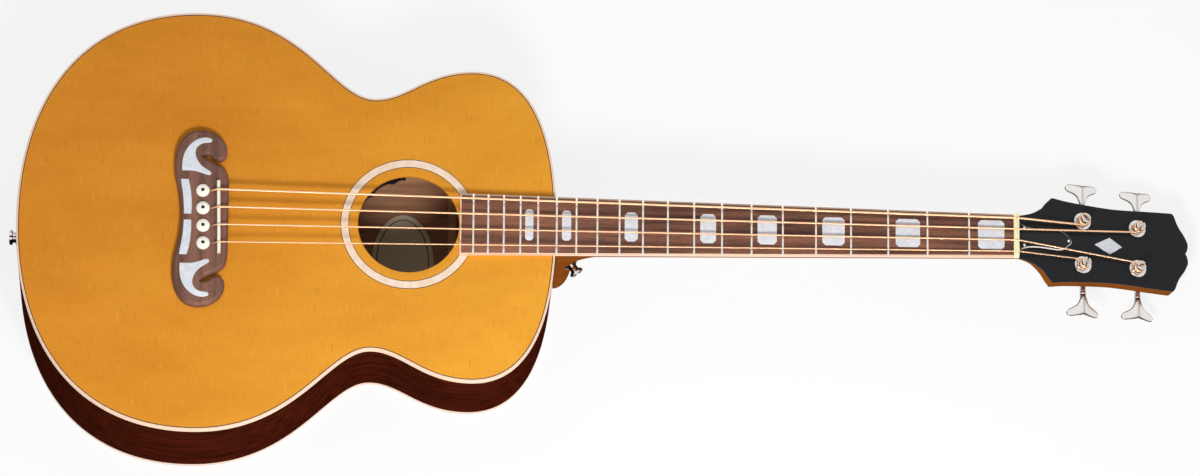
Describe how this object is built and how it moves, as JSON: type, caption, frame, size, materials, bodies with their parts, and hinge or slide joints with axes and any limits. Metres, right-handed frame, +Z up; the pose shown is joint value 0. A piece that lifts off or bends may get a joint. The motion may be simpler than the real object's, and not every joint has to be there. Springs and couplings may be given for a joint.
{
  "type": "acoustic bass guitar",
  "caption": "Acoustic bass guitar with a jumbo hollow body, scroll-ended bridge, slotted string posts and open worm-geared tuners that turn.",
  "frame": {"origin": "on the surface that the back rests on, under the middle of the outline", "axes": "+X along the strings from the tail to the headstock, +Z up out of the soundboard's side, +Y towards the bass side"},
  "size_m": [1.1648, 0.4304, 0.1411],
  "materials": {
    "spruce_top": "amber gloss lacquer over spruce",
    "dark_wood": "dark red-brown gloss lacquer over maple",
    "cream_trim": "cream binding with a fine dark line",
    "raw_wood": "bare wood",
    "neck_wood": "amber gloss lacquer over maple",
    "board_wood": "open-grained brown wood, oiled",
    "bone": "polished bone",
    "black_lacquer": "black gloss lacquer",
    "black_plastic": "black plastic",
    "nickel": "satin nickel plating",
    "brass": "machined brass",
    "bronze": "bronze-wound steel",
    "rod_steel": "blackened steel rod"
  },
  "bodies": {
    "body": {"soundboard": "spruce_top", "rosette": "cream_trim", "back_plate": "dark_wood", "side_bass": "dark_wood", "side_treble": "dark_wood", "binding_top": "cream_trim", "binding_back": "cream_trim", "lining_top_bass": "raw_wood", "lining_back_bass": "raw_wood", "lining_top_treble": "raw_wood", "lining_back_treble": "raw_wood", "neck_block": "raw_wood", "tail_block": "raw_wood", "x_brace": "raw_wood", "transverse_brace": "raw_wood", "bridge_plate": "raw_wood", "back_brace_1": "raw_wood", "back_brace_2": "raw_wood", "back_brace_3": "raw_wood", "neck": "neck_wood", "fingerboard": "board_wood", "nut": "bone", "bridge": "board_wood", "saddle": "bone", "bridge_pin_e": "bone", "string_e": "bronze", "bridge_pin_a": "bone", "string_a": "bronze", "bridge_pin_d": "bone", "string_d": "bronze", "bridge_pin_g": "bone", "string_g": "bronze", "headstock_face": "black_lacquer", "truss_rod_cover": "black_plastic", "bushing_e": "nickel", "base_plate_e": "nickel", "bushing_a": "nickel", "base_plate_a": "nickel", "bushing_d": "nickel", "base_plate_d": "nickel", "bushing_g": "nickel", "base_plate_g": "nickel", "preamp_housing": "black_plastic", "strap_button": "nickel", "endpin_jack": "nickel"},
    "key_e": {"key_e": "nickel"},
    "post_e": {"post_e": "nickel", "worm_wheel_e": "brass"},
    "key_a": {"key_a": "nickel"},
    "post_a": {"post_a": "nickel", "worm_wheel_a": "brass"},
    "key_d": {"key_d": "nickel"},
    "post_d": {"post_d": "nickel", "worm_wheel_d": "brass"},
    "key_g": {"key_g": "nickel"},
    "post_g": {"post_g": "nickel", "worm_wheel_g": "brass"},
    "volume_wheel": {"volume_wheel": "black_plastic"},
    "tone_wheel": {"tone_wheel": "black_plastic"},
    "truss_rod": {"truss_rod": "rod_steel"}
  },
  "joints": [
    {"name": "key_e_turn", "type": "hinge", "parent": "body", "child": "key_e", "pos_m": [0.47722, 0.0225, 0.03686], "axis": [0, 1, 0], "continuous": true},
    {"name": "post_e_turn", "type": "hinge", "parent": "body", "child": "post_e", "pos_m": [0.47487, 0.0225, 0.05573], "axis": [0.3, 0, 0.9539], "continuous": true, "deforming": ["string_e"]},
    {"name": "key_a_turn", "type": "hinge", "parent": "body", "child": "key_a", "pos_m": [0.53207, 0.0207, 0.01961], "axis": [0, 1, 0], "continuous": true},
    {"name": "post_a_turn", "type": "hinge", "parent": "body", "child": "post_a", "pos_m": [0.52972, 0.0207, 0.03848], "axis": [0.3, 0, 0.9539], "continuous": true, "deforming": ["string_a"]},
    {"name": "key_d_turn", "type": "hinge", "parent": "body", "child": "key_d", "pos_m": [0.53207, -0.0207, 0.01961], "axis": [0, -1, 0], "continuous": true},
    {"name": "post_d_turn", "type": "hinge", "parent": "body", "child": "post_d", "pos_m": [0.52972, -0.0207, 0.03848], "axis": [0.3, 0, 0.9539], "continuous": true, "deforming": ["string_d"]},
    {"name": "key_g_turn", "type": "hinge", "parent": "body", "child": "key_g", "pos_m": [0.47722, -0.0225, 0.03686], "axis": [0, -1, 0], "continuous": true},
    {"name": "post_g_turn", "type": "hinge", "parent": "body", "child": "post_g", "pos_m": [0.47487, -0.0225, 0.05573], "axis": [0.3, 0, 0.9539], "continuous": true, "deforming": ["string_g"]},
    {"name": "volume_wheel_turn", "type": "hinge", "parent": "body", "child": "volume_wheel", "pos_m": [-0.22606, 0.03687, 0.1071], "axis": [0.0604, 0, 0.9982], "range_deg": [-150, 150]},
    {"name": "tone_wheel_turn", "type": "hinge", "parent": "body", "child": "tone_wheel", "pos_m": [-0.20359, 0.05127, 0.10575], "axis": [0.0604, 0, 0.9982], "range_deg": [-150, 150]},
    {"name": "truss_rod_turn", "type": "hinge", "parent": "body", "child": "truss_rod", "pos_m": [0.4137, 0, 0.0729], "axis": [0.9982, 0, -0.0604], "range_deg": [-180, 180]}
  ],
  "couplings": [
    {"joint": "post_e_turn", "follows": "key_e_turn", "ratio": -0.0625},
    {"joint": "post_a_turn", "follows": "key_a_turn", "ratio": -0.0625},
    {"joint": "post_d_turn", "follows": "key_d_turn", "ratio": -0.0625},
    {"joint": "post_g_turn", "follows": "key_g_turn", "ratio": -0.0625}
  ]
}
